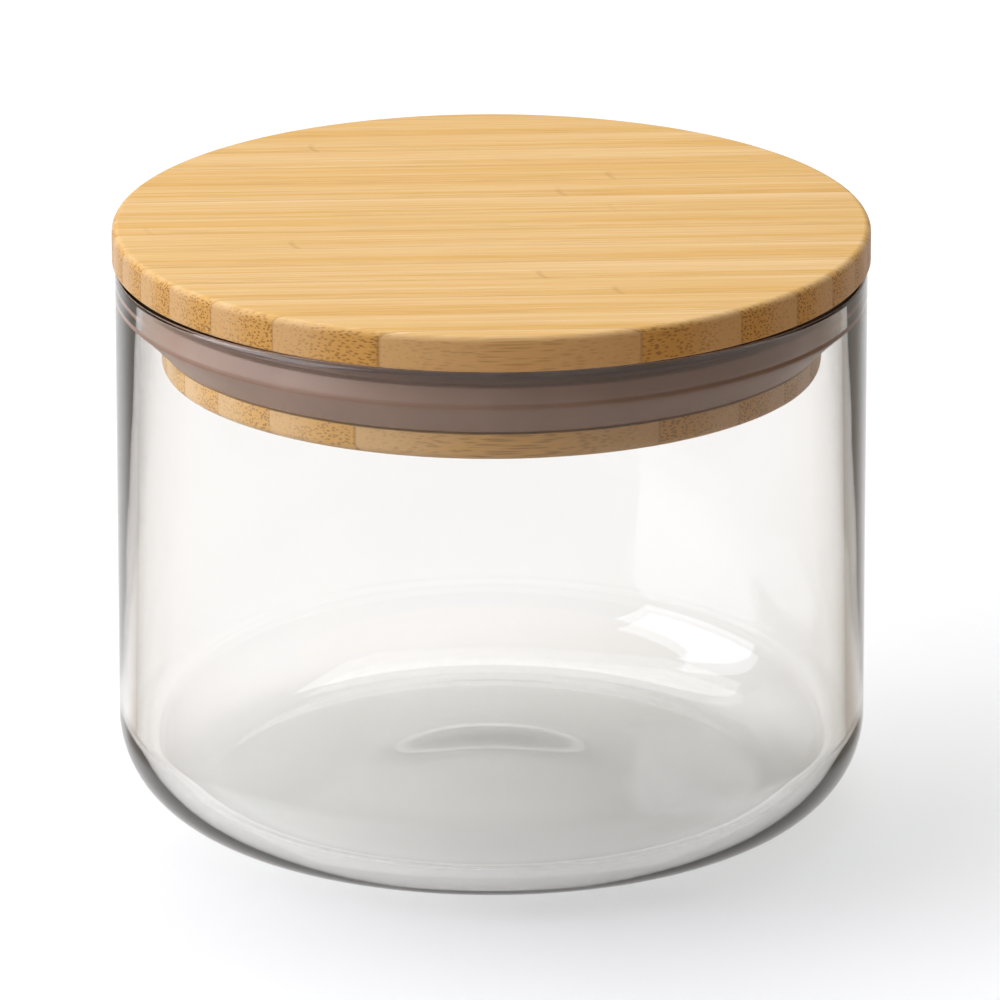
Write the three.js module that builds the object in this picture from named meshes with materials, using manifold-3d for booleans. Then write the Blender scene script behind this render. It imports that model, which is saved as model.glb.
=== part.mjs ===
// Round glass storage jar with a push-in bamboo lid, in millimetres, +Z up.
// The origin is the centre of the jar's foot. The lid is one glued-up bamboo board, turned with a groove that
// holds a silicone seal; its strips run along X, and each strip is a solid of its own.

import * as THREE from 'three';
import { mergeVertices } from 'three/addons/utils/BufferGeometryUtils.js';
import Module from 'manifold-3d';

// The solid modeller that cuts the lid board into strips.
const tools = await Module();
tools.setup();

// Driving dimensions.
const roundSegments = 64; // facets round every turned piece
const jarArcSteps = 3; // an arc of the jar's outline gets twice this many chords
const lidArcSteps = 1; // and so does one of the lid's, whose roundings are small

const jarDiameter = 99.2;
const jarHeight = 75;
const wallThickness = 2.2;
const floorThickness = 3;
const heelRadius = 12.6; // outside rounding between wall and foot
const footInnerRadius = 30; // the flat foot ring lies between this and the heel
const puntRise = 0.8; // how far the underside lifts at its centre

const lidDiameter = 100;
const lidTopThickness = 4.8;
const lidTopRounding = 1.0;
const lidUnderChamfer = 0.2;
const rimGap = 0.2; // between the jar's rim and the lid's underside
const grooveHeight = 10.1;
const grooveDiameter = 83;
const plugDiameter = 88.6; // the board's lower flange, which traps the seal
const plugThickness = 3.65;
const plugRounding = 1.3;

const stripCount = 15;
const stripPitch = 7.24; // thickness of one bamboo strip in the glued-up board

const sealClearance = 0.3; // between the seal and every neighbour
const sealRootWidth = 2.7; // the seal's width where it sits on the flange
const sealFlareHeight = 4; // the main rib flares out over this height
const sealLandHeight = 0.8; // bears on the glass over this one
const sealLeanHeight = 2.1; // and leans back a little over this one
const sealLean = 0.4;
const sealSlotHeight = 0.7; // the slot between the main rib and the top rib
const sealSlotDepth = 1.7; // measured in from the land
const sealTopRibInset = 0.9; // and so is the top rib

const cutterMargin = 5; // how far the slabs that cut the board reach past it
const weldDistance = 0.0001; // corners closer than this are one corner
const shadeStep = 0.06; // how much darker each of three bamboo shades is than the last

// Derived sizes.
const jarRadius = jarDiameter / 2;
const boreRadius = jarRadius - wallThickness;
const lidRadius = lidDiameter / 2;
const grooveRadius = grooveDiameter / 2;
const plugRadius = plugDiameter / 2;
const grooveFloor = -grooveHeight; // heights in the lid are measured from the underside of its top
const lidBottom = grooveFloor - plugThickness;

// Turns an outline of (radius, height) points about the vertical axis.
function turned(outline, arcSteps) {
  return new THREE.LatheGeometry(outline.getPoints(arcSteps), roundSegments).rotateX(Math.PI / 2);
}

// A closed geometry as a solid that can be joined and cut.
function toSolid(geometry) {
  const bare = geometry.clone();
  bare.deleteAttribute('normal');
  bare.deleteAttribute('uv');
  const merged = mergeVertices(bare, weldDistance);
  return new tools.Manifold(
    new tools.Mesh({
      numProp: 3,
      vertProperties: merged.attributes.position.array,
      triVerts: new Uint32Array(merged.index.array),
    }),
  );
}

function toGeometry(solid) {
  const { vertProperties, triVerts } = solid.getMesh();
  const geometry = new THREE.BufferGeometry();
  geometry.setAttribute('position', new THREE.BufferAttribute(vertProperties, 3));
  geometry.setIndex(new THREE.BufferAttribute(triVerts, 1));
  geometry.computeVertexNormals();
  return geometry;
}

function named(name, geometry, material) {
  const mesh = new THREE.Mesh(geometry, material);
  mesh.name = name;
  return mesh;
}

// The jar: one wall, rounded into a floor with a shallow punt, with a fire-polished rim.
function jarOutline() {
  const heelCentre = jarRadius - heelRadius;
  const rimRadius = wallThickness / 2;
  const rimCentre = jarRadius - rimRadius;
  const innerHeel = heelRadius - wallThickness;
  const outline = new THREE.Path();
  outline.moveTo(0, puntRise);
  outline.bezierCurveTo(footInnerRadius / 2, puntRise, footInnerRadius / 2, 0, footInnerRadius, 0);
  outline.lineTo(heelCentre, 0);
  outline.absarc(heelCentre, heelRadius, heelRadius, -Math.PI / 2, 0);
  outline.lineTo(jarRadius, jarHeight - rimRadius);
  outline.absarc(rimCentre, jarHeight - rimRadius, rimRadius, 0, Math.PI);
  outline.lineTo(boreRadius, floorThickness + innerHeel);
  outline.absarc(heelCentre, floorThickness + innerHeel, innerHeel, 0, -Math.PI / 2, true);
  outline.quadraticCurveTo(footInnerRadius / 2, floorThickness, 0, floorThickness + puntRise / 2);
  return outline;
}

// The lid board before it is parted into strips: a top disc, a groove for the seal and a lower flange.
function lidOutline() {
  const topCentre = lidTopThickness - lidTopRounding;
  const outline = new THREE.Path();
  outline.moveTo(0, lidBottom);
  outline.lineTo(plugRadius - plugRounding, lidBottom);
  outline.absarc(plugRadius - plugRounding, lidBottom + plugRounding, plugRounding, -Math.PI / 2, 0);
  outline.lineTo(plugRadius, grooveFloor);
  outline.lineTo(grooveRadius, grooveFloor);
  outline.lineTo(grooveRadius, 0);
  outline.lineTo(lidRadius - lidUnderChamfer, 0);
  outline.lineTo(lidRadius, lidUnderChamfer);
  outline.lineTo(lidRadius, topCentre);
  outline.absarc(lidRadius - lidTopRounding, topCentre, lidTopRounding, 0, Math.PI / 2);
  outline.lineTo(0, lidTopThickness);
  return outline;
}

// The seal: a ring round the neck, with a main rib that flares out to bear on the glass and a top rib above it.
function sealOutline() {
  const inner = grooveRadius + sealClearance;
  const outer = boreRadius - sealClearance;
  const bottom = grooveFloor + sealClearance;
  const top = -sealClearance;
  const landBottom = bottom + sealFlareHeight;
  const landTop = landBottom + sealLandHeight;
  const slotBottom = landTop + sealLeanHeight;
  const slotTop = slotBottom + sealSlotHeight;
  const outline = new THREE.Path();
  outline.moveTo(inner, bottom);
  outline.lineTo(inner + sealRootWidth, bottom);
  outline.lineTo(outer, landBottom);
  outline.lineTo(outer, landTop);
  outline.lineTo(outer - sealLean, slotBottom);
  outline.lineTo(outer - sealSlotDepth, slotBottom);
  outline.lineTo(outer - sealSlotDepth, slotTop);
  outline.lineTo(outer - sealTopRibInset, slotTop);
  outline.lineTo(outer - sealTopRibInset, top);
  outline.lineTo(inner, top);
  outline.lineTo(inner, bottom);
  return outline;
}

// A slab of the lid between two glue joints. Neighbours share the exact Y of their joint.
function slabBetween(y0, y1) {
  const reach = lidRadius + cutterMargin;
  const corners = [
    new THREE.Vector2(-reach, y0),
    new THREE.Vector2(reach, y0),
    new THREE.Vector2(reach, y1),
    new THREE.Vector2(-reach, y1),
  ];
  const depth = lidTopThickness - lidBottom + 2 * cutterMargin;
  const slab = new THREE.ExtrudeGeometry(new THREE.Shape(corners), { depth, bevelEnabled: false });
  return toSolid(slab.translate(0, 0, lidBottom - cutterMargin));
}

// The glue joints lie evenly about the middle of the board, and the outermost strips run out past its edge.
function glueJoint(index) {
  if (index === 0) return -lidRadius - cutterMargin / 2;
  if (index === stripCount) return lidRadius + cutterMargin / 2;
  return (index - stripCount / 2) * stripPitch;
}

// Bamboo darkens a little from strip to strip.
function bambooMaterial(index) {
  const shade = 1 - shadeStep * (index % 3);
  const color = new THREE.Color(0.86, 0.66, 0.4).multiplyScalar(shade);
  return new THREE.MeshStandardMaterial({ color, roughness: 0.55, metalness: 0 });
}

function lidStrips() {
  const board = toSolid(turned(lidOutline(), lidArcSteps));
  const strips = [];
  for (let i = 0; i < stripCount; i++) {
    const strip = board.intersect(slabBetween(glueJoint(i), glueJoint(i + 1)));
    const number = String(i + 1).padStart(2, '0');
    strips.push(named('lid_strip_' + number, toGeometry(strip), bambooMaterial(i)));
  }
  return strips;
}

const glass = new THREE.MeshStandardMaterial({
  color: 0xeef3f1,
  roughness: 0.03,
  metalness: 0,
  transparent: true,
  opacity: 0.3,
});
const silicone = new THREE.MeshStandardMaterial({ color: 0x9a8272, roughness: 0.45, metalness: 0 });

const storageJar = new THREE.Group();
storageJar.add(named('glass_jar', turned(jarOutline(), jarArcSteps), glass));

const lid = new THREE.Group();
lid.position.z = jarHeight + rimGap;
lid.add(named('silicone_seal', turned(sealOutline(), lidArcSteps), silicone), ...lidStrips());
storageJar.add(lid);

export default storageJar;
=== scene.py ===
"""Looks of a round glass storage jar with a laminated bamboo lid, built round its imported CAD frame.

Lengths are in metres, and Z is up. The grain of the lid runs along X, and its front faces -Y.
"""

import math

import bmesh
import bpy
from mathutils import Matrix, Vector


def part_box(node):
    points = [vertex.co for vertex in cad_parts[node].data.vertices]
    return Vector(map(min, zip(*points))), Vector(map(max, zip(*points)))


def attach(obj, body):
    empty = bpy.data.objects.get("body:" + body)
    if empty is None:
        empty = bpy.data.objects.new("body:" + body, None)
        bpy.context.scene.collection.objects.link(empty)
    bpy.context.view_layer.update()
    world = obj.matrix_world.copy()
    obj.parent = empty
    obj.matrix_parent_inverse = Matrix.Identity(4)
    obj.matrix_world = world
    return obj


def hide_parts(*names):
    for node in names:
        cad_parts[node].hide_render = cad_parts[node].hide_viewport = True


MM = 0.001

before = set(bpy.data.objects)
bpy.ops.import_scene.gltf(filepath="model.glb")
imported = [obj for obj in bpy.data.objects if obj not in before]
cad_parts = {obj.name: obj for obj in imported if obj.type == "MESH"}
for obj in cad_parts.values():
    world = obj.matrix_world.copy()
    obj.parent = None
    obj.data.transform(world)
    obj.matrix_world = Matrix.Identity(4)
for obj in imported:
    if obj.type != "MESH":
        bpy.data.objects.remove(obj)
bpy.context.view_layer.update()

# Places read from the frame.
jar_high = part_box("glass_jar")[1]
seal_low, seal_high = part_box("silicone_seal")
strip_names = sorted(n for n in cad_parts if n.startswith("lid_strip_"))
middle_low, middle_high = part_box(strip_names[len(strip_names) // 2])

JAR_RADIUS = jar_high.x
JAR_TOP = jar_high.z
LID_RADIUS = middle_high.x
LID_BOTTOM = middle_low.z
LID_TOP = middle_high.z
PITCH = middle_high.y - middle_low.y
SEAL_BOTTOM = seal_low.z
SEAL_TOP = seal_high.z

# Sizes of the glass.
WALL = 2.2 * MM
FLOOR = 3.0 * MM
HEEL_RADIUS = 12.6 * MM
FOOT_INNER = 30.0 * MM
PUNT_RISE = 0.8 * MM
BORE_RADIUS = JAR_RADIUS - WALL

# Sizes of the lid, which are those of its CAD strips.
DISC_BOTTOM = JAR_TOP + 0.2 * MM
DISC_ROUNDING = 1.0 * MM
DISC_CHAMFER = 0.2 * MM
NECK_RADIUS = 41.5 * MM
FLANGE_RADIUS = 44.3 * MM
FLANGE_TOP = DISC_BOTTOM - 10.1 * MM
FLANGE_ROUNDING = 1.3 * MM

# Sizes of the seal. Its main rib is pressed a hair into the glass, as the soft one is.
SEAL_INNER = NECK_RADIUS + 0.3 * MM
SEAL_ROOT = SEAL_INNER + 2.7 * MM
SEAL_FLARE = 4.0 * MM
SEAL_LAND = 0.8 * MM
SEAL_LEAN_HEIGHT = 2.1 * MM
SEAL_LEAN = 0.7 * MM
SEAL_SLOT_HEIGHT = 0.7 * MM
SEAL_SLOT_DEPTH = 2.0 * MM
SEAL_TOP_RIB_INSET = 1.2 * MM
RIB_SQUEEZE = 0.05 * MM

# How far from each corner of the seal its rounding starts.
INNER_EASE = 0.3 * MM
OUTER_EASE = 0.4 * MM
UNDER_LAND_EASE = 1.4 * MM
OVER_LAND_EASE = 0.8 * MM
SLOT_LIP_EASE = 0.25 * MM
SLOT_ROOT_EASE = 0.1 * MM

# How finely curves are drawn.
TURN_STEPS = 256
FOOT_STEPS = 24
HEEL_STEPS = 32
RIM_STEPS = 24
FLANGE_STEPS = 8
DISC_STEPS = 10
EASE_STEPS = 6
SAME_POINT = 1e-7  # neighbours on an outline that are closer than this are one point
ON_AXIS = 1e-9  # and a point nearer to the axis than this lies on it


# Outlines.

def arc(centre_r, centre_z, radius, start, end, steps):
    """Points (radius, height) along an arc, with its angles in degrees."""
    turns = [math.radians(start + (end - start) * i / steps) for i in range(steps + 1)]
    return [(centre_r + radius * math.cos(t), centre_z + radius * math.sin(t)) for t in turns]


def bezier(p0, p1, p2, p3, steps):
    """Points along a cubic curve."""
    points = []
    for i in range(steps + 1):
        t = i / steps
        u = 1 - t
        weights = (u**3, 3 * u * u * t, 3 * u * t * t, t**3)
        points.append(tuple(sum(w * p[k] for w, p in zip(weights, (p0, p1, p2, p3))) for k in range(2)))
    return points


def rounded(corners):
    """A closed outline whose corners (radius, height, ease) are each rounded by a short curve."""
    points = []
    for i, (r, z, ease) in enumerate(corners):
        corner = Vector((r, z))
        before = Vector(corners[i - 1][:2]) - corner
        after = Vector(corners[(i + 1) % len(corners)][:2]) - corner
        start = corner + before.normalized() * min(ease, before.length / 2)
        end = corner + after.normalized() * min(ease, after.length / 2)
        for k in range(EASE_STEPS + 1):
            t = k / EASE_STEPS
            points.append(tuple((1 - t) ** 2 * start + 2 * t * (1 - t) * corner + t * t * end))
    return points


def jar_outline():
    """Under the foot, up the outside, over the rim and down the bore to the middle of the floor."""
    heel_centre = JAR_RADIUS - HEEL_RADIUS
    inner_heel = HEEL_RADIUS - WALL
    rim = WALL / 2
    middle = FLOOR + PUNT_RISE / 2
    half_foot = FOOT_INNER / 2
    points = bezier((0, PUNT_RISE), (half_foot, PUNT_RISE), (half_foot, 0), (FOOT_INNER, 0), FOOT_STEPS)
    points += arc(heel_centre, HEEL_RADIUS, HEEL_RADIUS, -90, 0, HEEL_STEPS)
    points += arc(JAR_RADIUS - rim, JAR_TOP - rim, rim, 0, 180, RIM_STEPS)
    points += arc(heel_centre, FLOOR + inner_heel, inner_heel, 0, -90, HEEL_STEPS)
    points += bezier((heel_centre, FLOOR), (half_foot, FLOOR), (half_foot, middle), (0, middle), FOOT_STEPS)
    return points


def lid_outline():
    """The lower flange, the neck that the seal sits round, and the disc on top."""
    flange_in = FLANGE_RADIUS - FLANGE_ROUNDING
    disc_in = LID_RADIUS - DISC_ROUNDING
    points = [(0, LID_BOTTOM)]
    points += arc(flange_in, LID_BOTTOM + FLANGE_ROUNDING, FLANGE_ROUNDING, -90, 0, FLANGE_STEPS)
    points += [(FLANGE_RADIUS, FLANGE_TOP), (NECK_RADIUS, FLANGE_TOP), (NECK_RADIUS, DISC_BOTTOM)]
    points += [(LID_RADIUS - DISC_CHAMFER, DISC_BOTTOM), (LID_RADIUS, DISC_BOTTOM + DISC_CHAMFER)]
    points += arc(disc_in, LID_TOP - DISC_ROUNDING, DISC_ROUNDING, 0, 90, DISC_STEPS)
    return points + [(0, LID_TOP)]


def seal_outline():
    """A main rib that flares out to the glass and leans back above it, a slot, and a smaller top rib."""
    outer = BORE_RADIUS + RIB_SQUEEZE
    land_bottom = SEAL_BOTTOM + SEAL_FLARE
    land_top = land_bottom + SEAL_LAND
    slot_bottom = land_top + SEAL_LEAN_HEIGHT
    slot_top = slot_bottom + SEAL_SLOT_HEIGHT
    return rounded(
        [
            (SEAL_INNER, SEAL_BOTTOM, INNER_EASE),
            (SEAL_ROOT, SEAL_BOTTOM, OUTER_EASE),
            (outer, land_bottom, UNDER_LAND_EASE),
            (outer, land_top, OVER_LAND_EASE),
            (outer - SEAL_LEAN, slot_bottom, SLOT_LIP_EASE),
            (outer - SEAL_SLOT_DEPTH, slot_bottom, SLOT_ROOT_EASE),
            (outer - SEAL_SLOT_DEPTH, slot_top, SLOT_ROOT_EASE),
            (outer - SEAL_TOP_RIB_INSET, slot_top, SLOT_LIP_EASE),
            (outer - SEAL_TOP_RIB_INSET, SEAL_TOP, OUTER_EASE),
            (SEAL_INNER, SEAL_TOP, INNER_EASE),
        ]
    )


# Meshes.

def turned(outline, closed=False):
    """A bmesh of an outline turned about Z. It closes on itself, or else starts and ends on the axis."""
    points = [p for i, p in enumerate(outline) if i == 0 or math.dist(p, outline[i - 1]) > SAME_POINT]
    bm = bmesh.new()
    rings = []
    for r, z in points:
        count = 1 if r < ON_AXIS else TURN_STEPS
        turns = [2 * math.pi * i / TURN_STEPS for i in range(count)]
        rings.append([bm.verts.new((r * math.cos(a), r * math.sin(a), z)) for a in turns])
    pairs = list(zip(rings, rings[1:]))
    if closed:
        pairs.append((rings[-1], rings[0]))
    for low, high in pairs:
        for i in range(TURN_STEPS):
            j = (i + 1) % TURN_STEPS
            corners = [low[i % len(low)], low[j % len(low)], high[j % len(high)], high[i % len(high)]]
            bm.faces.new([v for k, v in enumerate(corners) if v not in corners[:k]])
    bmesh.ops.recalc_face_normals(bm, faces=bm.faces)
    return bm


def new_piece(name, bm, material, body, node, sharp_angle=30):
    """Puts a finished bmesh in the scene, in place of its CAD node. Edges over the angle stay sharp."""
    mesh = bpy.data.meshes.new(name)
    bm.to_mesh(mesh)
    bm.free()
    mesh.polygons.foreach_set("use_smooth", [True] * len(mesh.polygons))
    mesh.set_sharp_from_angle(angle=math.radians(sharp_angle))
    mesh.materials.append(material)
    piece = bpy.data.objects.new(name, mesh)
    bpy.context.scene.collection.objects.link(piece)
    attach(piece, body)
    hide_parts(node)


def strip_between(board, y0, y1):
    """The part of the lid board between two glue joints, closed where it was cut."""
    bm = board.copy()
    for y, outward in ((y0, -1), (y1, 1)):
        everything = bm.verts[:] + bm.edges[:] + bm.faces[:]
        cut = bmesh.ops.bisect_plane(
            bm, geom=everything, plane_co=(0, y, 0), plane_no=(0, outward, 0), clear_outer=True
        )
        edges = [e for e in cut["geom_cut"] if isinstance(e, bmesh.types.BMEdge)]
        if edges:
            bmesh.ops.contextual_create(bm, geom=edges)
    bmesh.ops.recalc_face_normals(bm, faces=bm.faces)
    return bm


# Shader nodes.

ZERO_TO_ONE = (0.0, 1.0)
ONE_TO_ZERO = (1.0, 0.0)


def add(tree, kind, values=None, **settings):
    """A new node. A value that is a socket is linked, and any other is set."""
    node = tree.nodes.new(kind)
    for key, value in settings.items():
        setattr(node, key, value)
    for key, value in (values or {}).items():
        if isinstance(value, bpy.types.NodeSocket):
            tree.links.new(value, node.inputs[key])
        else:
            node.inputs[key].default_value = value
    return node


def calc(tree, operation, a, b=0.0, clamp=False):
    return add(tree, "ShaderNodeMath", {0: a, 1: b}, operation=operation, use_clamp=clamp).outputs[0]


def plus(tree, a, b, clamp=False):
    return calc(tree, "ADD", a, b, clamp)


def minus(tree, a, b):
    return calc(tree, "SUBTRACT", a, b)


def times(tree, a, b):
    return calc(tree, "MULTIPLY", a, b)


def ramp(tree, value, start_end, low_high=ZERO_TO_ONE):
    """A smooth step from one result to another, between two values."""
    ends = {1: start_end[0], 2: start_end[1], 3: low_high[0], 4: low_high[1]}
    values = {0: value, **ends}
    return add(tree, "ShaderNodeMapRange", values, interpolation_type="SMOOTHSTEP", clamp=True).outputs[0]


def blend(tree, factor, a, b):
    """Colour a where the factor is 0, and colour b where it is 1."""
    return add(tree, "ShaderNodeMix", {0: factor, 6: a, 7: b}, data_type="RGBA").outputs[2]


def noise(tree, vector, scale, detail=2.0, roughness=0.5):
    values = {"Vector": vector, "Scale": scale, "Detail": detail, "Roughness": roughness}
    return add(tree, "ShaderNodeTexNoise", values).outputs[0]


def coordinates(tree, kind):
    """The shaded point's own coordinates of that kind."""
    return tree.nodes.new("ShaderNodeTexCoord").outputs[kind]


def parts(tree, vector):
    return add(tree, "ShaderNodeSeparateXYZ", {0: vector}).outputs


def colour_parts(tree, colour):
    return add(tree, "ShaderNodeSeparateColor", {0: colour}).outputs


def millimetres(tree):
    """Object coordinates in millimetres."""
    place = coordinates(tree, "Object")
    return add(tree, "ShaderNodeVectorMath", {0: place, "Scale": 1 / MM}, operation="SCALE").outputs[0]


def bump(tree, shader, height, distance, strength):
    values = {"Height": height, "Distance": distance, "Strength": strength}
    tree.links.new(add(tree, "ShaderNodeBump", values).outputs[0], shader.inputs["Normal"])


def new_material(name):
    material = bpy.data.materials.new(name)
    material.use_nodes = True
    tree = material.node_tree
    tree.nodes.clear()
    shader = tree.nodes.new("ShaderNodeBsdfPrincipled")
    output = tree.nodes.new("ShaderNodeOutputMaterial")
    tree.links.new(shader.outputs[0], output.inputs[0])
    return material, tree, shader, output


# Bamboo. Lengths in its values are in millimetres, and places across a strip run from 0 at its front to 1.

LIGHT_BAMBOO = (0.84, 0.585, 0.30, 1)
WARM_BAMBOO = (0.72, 0.42, 0.12, 1)
STREAK_BROWN = (0.50, 0.25, 0.06, 1)
NODE_BROWN = (0.42, 0.22, 0.07, 1)
PALE_SIDE = (0.75, 0.475, 0.205, 1)
DENSE_SIDE = (0.72, 0.40, 0.10, 1)
BUNDLE_BROWN = (0.25, 0.11, 0.03, 1)
GLUE_BROWN = (0.38, 0.21, 0.08, 1)

# Length along the grain and width across it.
BUNDLE_SIZE = (9.0, 0.33)
STREAK_SIZE = (60.0, 0.55)
BAND_SIZE = (140.0, 2.4)
GRAIN_SIZE = (14.0, 0.12)
STRIP_SHIFT = 900.0  # strips are shifted along the grain by up to this, so that no two look alike

# Which faces count as end grain and as top, by how squarely they face that way.
END_FACING = (0.15, 0.9)
TOP_FACING = (0.5, 0.95)

# Fibre bundles.
CROWDED_ACROSS = (0.0, 0.95)
BUNDLE_SHARE = 0.65  # chance of a bundle in a cell where they are least crowded
CHANCE_EDGE = (-0.03, 0.03)
BUNDLE_RADII = (0.2, 0.52)
THIN_BUNDLE = 0.28  # how strongly a bundle shows where they are least crowded
ALONG_STRENGTH = 0.62  # how strongly bundles show on the sides of the lid, which cut the fibres along
END_STRENGTH = 0.38  # what is added on end grain
TOP_WEAKENING = 0.45  # and what is taken off on top

# How warm the tone gets on top from each cause.
STREAK_RANGE = (0.34, 0.68)
STREAK_WARMTH = 0.62
BAND_RANGE = (0.3, 0.7)
BAND_WARMTH = 0.35
FRONT_WARMTH = 0.22
STRIP_WARMTH = 0.22

DENSE_RANGE = (0.1, 0.9)
GRAIN_RANGE = (0.4, 0.75)
GRAIN_DARKNESS = 0.2

# Scars of the culm's nodes: a thin arc across some of the strips.
NODE_REACH = 130.0  # the length over which they are scattered
NODE_MIDDLE = 0.4  # where across a strip the arc turns back
NODE_BULGE = 6.0
NODE_WIDTH = (0.1, 0.6)
NODE_ACROSS = (0.3, 0.8)
SCARRED_RANGE = (0.5, 0.6)
SCAR_DARKNESS = 0.3

# Glue joints, measured as a share of the strip.
JOINT_WIDTH = (0.006, 0.016)
JOINT_DARKNESS = 0.45

# The surface.
ROUGH_RANGE = (0.3, 0.7)
BAMBOO_ROUGHNESS = (0.5, 0.6)
BUNDLE_ROUGHNESS = 0.12
SIDE_SHEEN = 0.4
GRAIN_RELIEF = 0.35
BUNDLE_RELIEF = 0.6
BAMBOO_RELIEF = 0.04 * MM
BAMBOO_BUMP = 0.6


def bamboo_material():
    """Laminated bamboo: fibre bundles run along X, and crowd towards the front side of each strip."""
    material, tree, shader, _ = new_material("bamboo")
    xyz = parts(tree, millimetres(tree))

    # Which strip a point is in, how far across it, and three random values of the strip.
    across = plus(tree, calc(tree, "DIVIDE", xyz["Y"], PITCH / MM), 0.5)
    index = calc(tree, "FLOOR", across)
    within = calc(tree, "FRACT", across)
    luck = add(tree, "ShaderNodeTexWhiteNoise", {"W": index}, noise_dimensions="1D").outputs
    own = colour_parts(tree, luck["Color"])
    offset = times(tree, luck["Value"], STRIP_SHIFT)

    def fibres(size):
        """Coordinates in which a unit cell is a fibre of that length along X and width across."""
        length, width = size
        along = calc(tree, "DIVIDE", plus(tree, xyz["X"], offset), length)
        side = calc(tree, "DIVIDE", xyz["Y"], width)
        height = calc(tree, "DIVIDE", xyz["Z"], width)
        return add(tree, "ShaderNodeCombineXYZ", {0: along, 1: side, 2: height}).outputs[0]

    normal = parts(tree, coordinates(tree, "Normal"))
    end_grain = ramp(tree, calc(tree, "ABSOLUTE", normal["X"]), END_FACING)
    on_top = ramp(tree, calc(tree, "ABSOLUTE", normal["Z"]), TOP_FACING)

    # Fibre bundles: dots on end grain, and dashes where they are cut along.
    cells = add(tree, "ShaderNodeTexVoronoi", {"Vector": fibres(BUNDLE_SIZE), "Scale": 1.0}).outputs
    chance = colour_parts(tree, cells["Color"])[0]
    crowding = ramp(tree, within, CROWDED_ACROSS, ONE_TO_ZERO)
    present = ramp(tree, minus(tree, plus(tree, crowding, BUNDLE_SHARE), chance), CHANCE_EDGE)
    spot = ramp(tree, cells["Distance"], BUNDLE_RADII, ONE_TO_ZERO)
    heavy = plus(tree, THIN_BUNDLE, times(tree, crowding, 1 - THIN_BUNDLE))
    bundles = times(tree, times(tree, spot, present), heavy)

    # The tone of the wood between them.
    streaks = noise(tree, fibres(STREAK_SIZE), 1.0, 3.0, 0.6)
    bands = noise(tree, fibres(BAND_SIZE), 1.0)
    grain = noise(tree, fibres(GRAIN_SIZE), 1.0)
    streaky = ramp(tree, streaks, STREAK_RANGE, (0.0, STREAK_WARMTH))
    banded = ramp(tree, bands, BAND_RANGE, (0.0, BAND_WARMTH))
    tone = plus(tree, streaky, banded)
    tone = plus(tree, tone, ramp(tree, within, ZERO_TO_ONE, (FRONT_WARMTH, 0.0)))
    tone = plus(tree, tone, times(tree, luck["Value"], STRIP_WARMTH), clamp=True)
    side = blend(tree, ramp(tree, crowding, DENSE_RANGE), PALE_SIDE, DENSE_SIDE)
    colour = blend(tree, on_top, side, blend(tree, tone, LIGHT_BAMBOO, WARM_BAMBOO))
    colour = blend(tree, ramp(tree, grain, GRAIN_RANGE, (0.0, GRAIN_DARKNESS)), colour, STREAK_BROWN)
    strength = plus(tree, ALONG_STRENGTH, times(tree, end_grain, END_STRENGTH))
    strength = minus(tree, strength, times(tree, on_top, TOP_WEAKENING))
    colour = blend(tree, times(tree, bundles, strength), colour, BUNDLE_BROWN)

    # Node scars, on top only.
    node_x = times(tree, minus(tree, own[1], 0.5), NODE_REACH)
    bulge = times(tree, calc(tree, "POWER", minus(tree, within, NODE_MIDDLE), 2.0), NODE_BULGE)
    from_node = calc(tree, "ABSOLUTE", minus(tree, plus(tree, node_x, bulge), xyz["X"]))
    scarred = ramp(tree, own[2], SCARRED_RANGE, (0.0, SCAR_DARKNESS))
    scar = times(tree, ramp(tree, from_node, NODE_WIDTH, ONE_TO_ZERO), ramp(tree, crowding, NODE_ACROSS))
    scar = times(tree, scar, scarred)
    colour = blend(tree, times(tree, scar, on_top), colour, NODE_BROWN)

    # Glue joints.
    from_joint = calc(tree, "MINIMUM", within, minus(tree, 1.0, within))
    joint = ramp(tree, from_joint, JOINT_WIDTH, (JOINT_DARKNESS, 0.0))
    colour = blend(tree, joint, colour, GLUE_BROWN)
    tree.links.new(colour, shader.inputs["Base Color"])

    roughness = ramp(tree, streaks, ROUGH_RANGE, BAMBOO_ROUGHNESS)
    roughness = plus(tree, roughness, times(tree, bundles, BUNDLE_ROUGHNESS))
    tree.links.new(roughness, shader.inputs["Roughness"])
    tree.links.new(ramp(tree, on_top, ZERO_TO_ONE, (SIDE_SHEEN, 0.0)), shader.inputs["Sheen Weight"])
    shader.inputs["Sheen Roughness"].default_value = 0.4
    shader.inputs["Specular IOR Level"].default_value = 0.35
    relief = minus(tree, times(tree, grain, GRAIN_RELIEF), times(tree, bundles, BUNDLE_RELIEF))
    bump(tree, shader, minus(tree, relief, joint), BAMBOO_RELIEF, BAMBOO_BUMP)
    return material


# Silicone.

SILICONE_DARK = (0.30, 0.185, 0.137, 1)
SILICONE_LIGHT = (0.335, 0.21, 0.158, 1)
CLOUD_SCALE = 0.12
SPECKLE_SCALE = 6.0
NOISE_RANGE = (0.3, 0.7)
SILICONE_ROUGHNESS = (0.38, 0.5)
SILICONE_RELIEF = 0.01 * MM
SILICONE_BUMP = 0.4


def silicone_material():
    """Taupe silicone, a little cloudy, with a fine satin texture."""
    material, tree, shader, _ = new_material("silicone")
    place = millimetres(tree)
    clouds = noise(tree, place, CLOUD_SCALE, 3.0)
    speckle = noise(tree, place, SPECKLE_SCALE)
    colour = blend(tree, ramp(tree, clouds, NOISE_RANGE), SILICONE_DARK, SILICONE_LIGHT)
    tree.links.new(colour, shader.inputs["Base Color"])
    tree.links.new(ramp(tree, speckle, NOISE_RANGE, SILICONE_ROUGHNESS), shader.inputs["Roughness"])
    shader.inputs["Specular IOR Level"].default_value = 0.45
    bump(tree, shader, speckle, SILICONE_RELIEF, SILICONE_BUMP)
    return material


# Glass.

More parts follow.
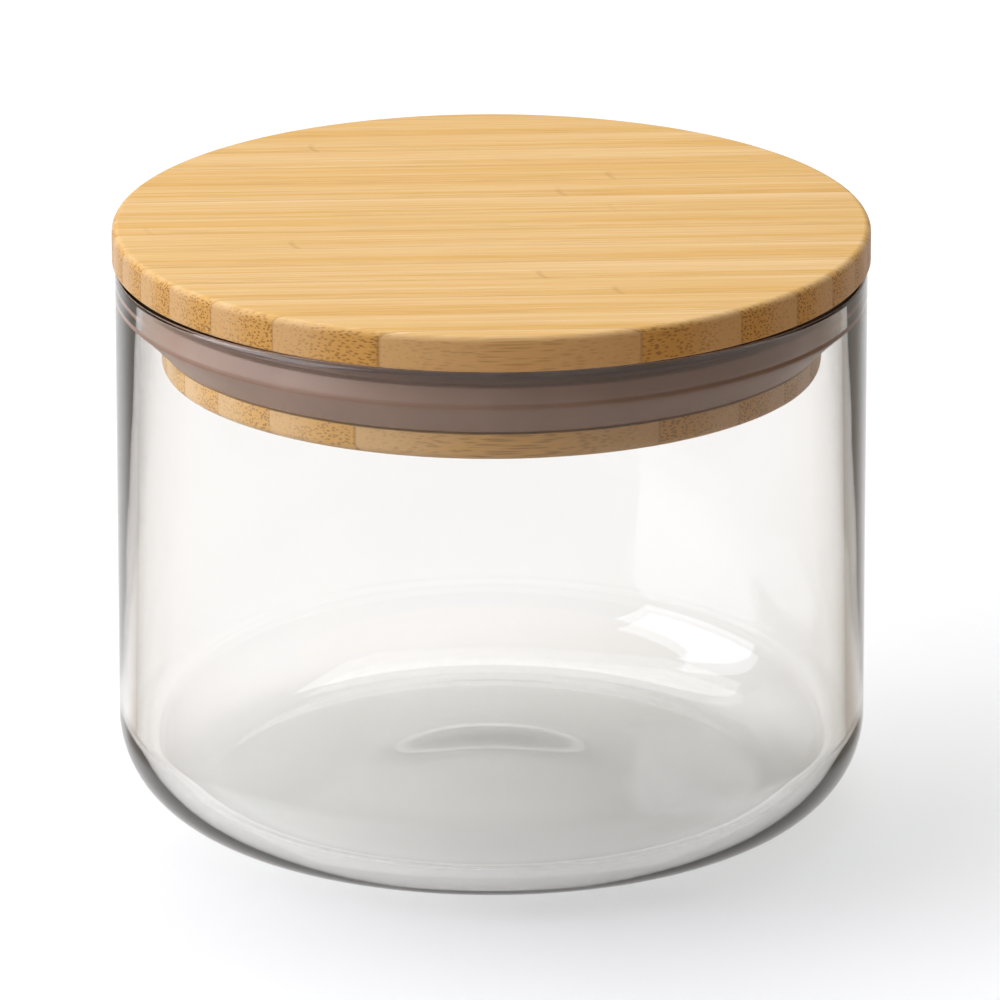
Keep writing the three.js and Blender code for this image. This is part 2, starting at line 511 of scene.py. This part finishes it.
GLASS_TINT = (0.995, 1.0, 0.997, 1)
GLASS_SHADE = (0.93, 0.94, 0.935, 1)  # what is left of a lamp's light behind one surface of the glass
RIPPLE_SCALE = 0.05
RIPPLE_RELIEF = 0.05 * MM
RIPPLE_BUMP = 0.5


def glass_material():
    """Clear glass. Lamps shine through it, a little dimmed, so that what is inside is lit."""
    material, tree, shader, output = new_material("clear_glass")
    shader.inputs["Base Color"].default_value = GLASS_TINT
    shader.inputs["Transmission Weight"].default_value = 1.0
    shader.inputs["IOR"].default_value = 1.48
    shader.inputs["Roughness"].default_value = 0.0
    bump(tree, shader, noise(tree, millimetres(tree), RIPPLE_SCALE, 1.0), RIPPLE_RELIEF, RIPPLE_BUMP)
    clear = add(tree, "ShaderNodeBsdfTransparent", {0: GLASS_SHADE})
    shadow = tree.nodes.new("ShaderNodeLightPath").outputs["Is Shadow Ray"]
    mixed = add(tree, "ShaderNodeMixShader", {0: shadow, 1: shader.outputs[0], 2: clear.outputs[0]})
    tree.links.new(mixed.outputs[0], output.inputs[0])
    return material


# The object.

new_piece(
    "glass_vessel",
    turned(jar_outline()),
    glass_material(),
    "container",
    "glass_jar",
    sharp_angle=60,
)
new_piece(
    "seal_ring", turned(seal_outline(), closed=True), silicone_material(), "seal", "silicone_seal"
)

bamboo = bamboo_material()
board = turned(lid_outline())
for name in strip_names:
    low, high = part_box(name)
    strip = strip_between(board, low.y, high.y)
    new_piece(name.replace("lid_strip", "bamboo_strip"), strip, bamboo, "lid", name)
board.free()


# The stage: a floor that the camera sees as plain pale paper, with painted shade for other rays, and soft
# studio light.

FLOOR_HALF = 6.0
FLOOR_GAP = 0.15 * MM  # air under the foot ring
SEEN_PAPER = (0.95, 0.95, 0.95, 1)
# Painted shade: tones that stand in for how a dim room lights a white sweep, seen only by rays other than
# the camera's.
BEHIND_PAINTED_SHADE = (0.86, 0.84, 0.82, 1)
SIDE_PAINTED_SHADE = (0.50, 0.45, 0.39, 1)
FRONT_PAINTED_SHADE = (0.42, 0.27, 0.16, 1)
THROUGH_PAINTED_SHADE = (0.80, 0.79, 0.775, 1)

# Where the painted shades of the floor change. A spread is the distance beside the jar over the distance
# behind it.
LEAST_DEPTH = 0.02
SIDE_SPREAD = (0.35, 0.75)
WIDE_SPREAD = (1.2, 3.5)
FRONT_EDGE = (-0.15, -0.06)


def studio_floor():
    """Paper that the camera sees as plain white.

    Other rays see painted shade in its place: the tones that a white sweep in a dim room would take, light
    behind the jar, greyer beside it, and dim and warm in front of it and far to its sides. There a ray that
    has come through glass, and hasn't yet been scattered by a dull surface, sees a pale neutral painted
    tone instead.
    """
    bm = bmesh.new()
    bmesh.ops.create_grid(bm, x_segments=1, y_segments=1, size=FLOOR_HALF)
    mesh = bpy.data.meshes.new("studio_floor")
    bm.to_mesh(mesh)
    bm.free()

    material, tree, shader, _ = new_material("floor_paper_painted_shade")
    place = parts(tree, coordinates(tree, "Object"))
    beside = minus(tree, calc(tree, "ABSOLUTE", place["X"]), JAR_RADIUS)
    depth = calc(tree, "MAXIMUM", place["Y"], LEAST_DEPTH)
    spread = calc(tree, "DIVIDE", beside, depth)
    # Painted shade of the sweep: lighter behind the jar, greyer beside it, dim and warm in front and far to
    # the sides.
    behind = blend(tree, ramp(tree, spread, SIDE_SPREAD), BEHIND_PAINTED_SHADE, SIDE_PAINTED_SHADE)
    wide = ramp(tree, spread, WIDE_SPREAD)
    in_front = ramp(tree, place["Y"], FRONT_EDGE, ONE_TO_ZERO)
    off_sweep = calc(tree, "MAXIMUM", in_front, wide)
    path = tree.nodes.new("ShaderNodeLightPath").outputs
    unscattered = calc(tree, "LESS_THAN", path["Diffuse Depth"], 0.5)
    looked_through = times(tree, path["Is Transmission Ray"], unscattered)
    beyond = blend(tree, looked_through, FRONT_PAINTED_SHADE, THROUGH_PAINTED_SHADE)
    lit = blend(tree, off_sweep, behind, beyond)
    shown = blend(tree, path["Is Camera Ray"], lit, SEEN_PAPER)
    tree.links.new(shown, shader.inputs["Base Color"])
    shader.inputs["Roughness"].default_value = 0.9
    shader.inputs["Specular IOR Level"].default_value = 0.0
    mesh.materials.append(material)

    floor = bpy.data.objects.new("studio_floor", mesh)
    bpy.context.scene.collection.objects.link(floor)
    floor.location.z = -FLOOR_GAP


def softbox(name, place, aim, size, power, colour=(1, 1, 1)):
    """A square area light at a place, facing a point."""
    data = bpy.data.lights.new(name, "AREA")
    data.size = size
    data.energy = power
    data.color = colour
    lamp = bpy.data.objects.new(name, data)
    bpy.context.scene.collection.objects.link(lamp)
    lamp.location = place
    lamp.rotation_mode = "QUATERNION"
    lamp.rotation_quaternion = (Vector(aim) - Vector(place)).to_track_quat("-Z", "Y")
    lamp.visible_camera = False


HORIZON = (0.115, 0.075, 0.045, 1)
ZENITH = (1.0, 1.0, 1.0, 1)
SKY_RANGE = (0.1, 0.9)  # upward parts of the direction, between which one turns into the other
SKY_STRENGTH = 0.5


def studio_world():
    """Bright overhead, dimmer towards the horizon, so that the glass has darker edges to show."""
    world = bpy.data.worlds.new("studio")
    world.use_nodes = True
    tree = world.node_tree
    tree.nodes.clear()
    up = parts(tree, coordinates(tree, "Generated"))["Z"]
    sky = blend(tree, ramp(tree, up, SKY_RANGE), HORIZON, ZENITH)
    background = add(tree, "ShaderNodeBackground", {"Color": sky, "Strength": SKY_STRENGTH})
    output = tree.nodes.new("ShaderNodeOutputWorld")
    tree.links.new(background.outputs[0], output.inputs[0])
    bpy.context.scene.world = world


COOL = (0.94, 0.97, 1.05)
WARM = (1.0, 0.62, 0.4)

studio_floor()
studio_world()
softbox("key", place=(-1.3, -0.25, 0.8), aim=(0, 0, 0.06), size=1.4, power=21, colour=COOL)
softbox("top", place=(-0.2, 0.6, 1.6), aim=(0, 0, 0), size=1.6, power=18)
softbox("fill", place=(1.3, -0.9, 0.7), aim=(0, 0, 0.05), size=0.9, power=0.3, colour=WARM)

# The camera stands a little left of square to the grain and looks down on the lid.
AZIMUTH = math.radians(-3)
ELEVATION = math.radians(18.5)
DISTANCE = 1.613
LENS = 437.6  # millimetres, as is the sensor
SENSOR = 36
FARTHEST = 20
AIM_RIGHT = 1.14 * MM
AIM_UP = 1.25 * MM

back = Vector(
    (
        math.sin(AZIMUTH) * math.cos(ELEVATION),
        -math.cos(AZIMUTH) * math.cos(ELEVATION),
        math.sin(ELEVATION),
    )
)
right = Vector((math.cos(AZIMUTH), math.sin(AZIMUTH), 0))
camera_data = bpy.data.cameras.new("camera")
camera_data.lens = LENS
camera_data.sensor_width = SENSOR
camera_data.clip_end = FARTHEST
camera = bpy.data.objects.new("camera", camera_data)
bpy.context.scene.collection.objects.link(camera)
aim = Vector((0, 0, LID_TOP / 2)) + right * AIM_RIGHT + back.cross(right) * AIM_UP
camera.location = aim + back * DISTANCE
camera.rotation_mode = "QUATERNION"
camera.rotation_quaternion = (-back).to_track_quat("-Z", "Y")
bpy.context.scene.camera = camera
bpy.context.scene.view_settings.view_transform = "Standard"
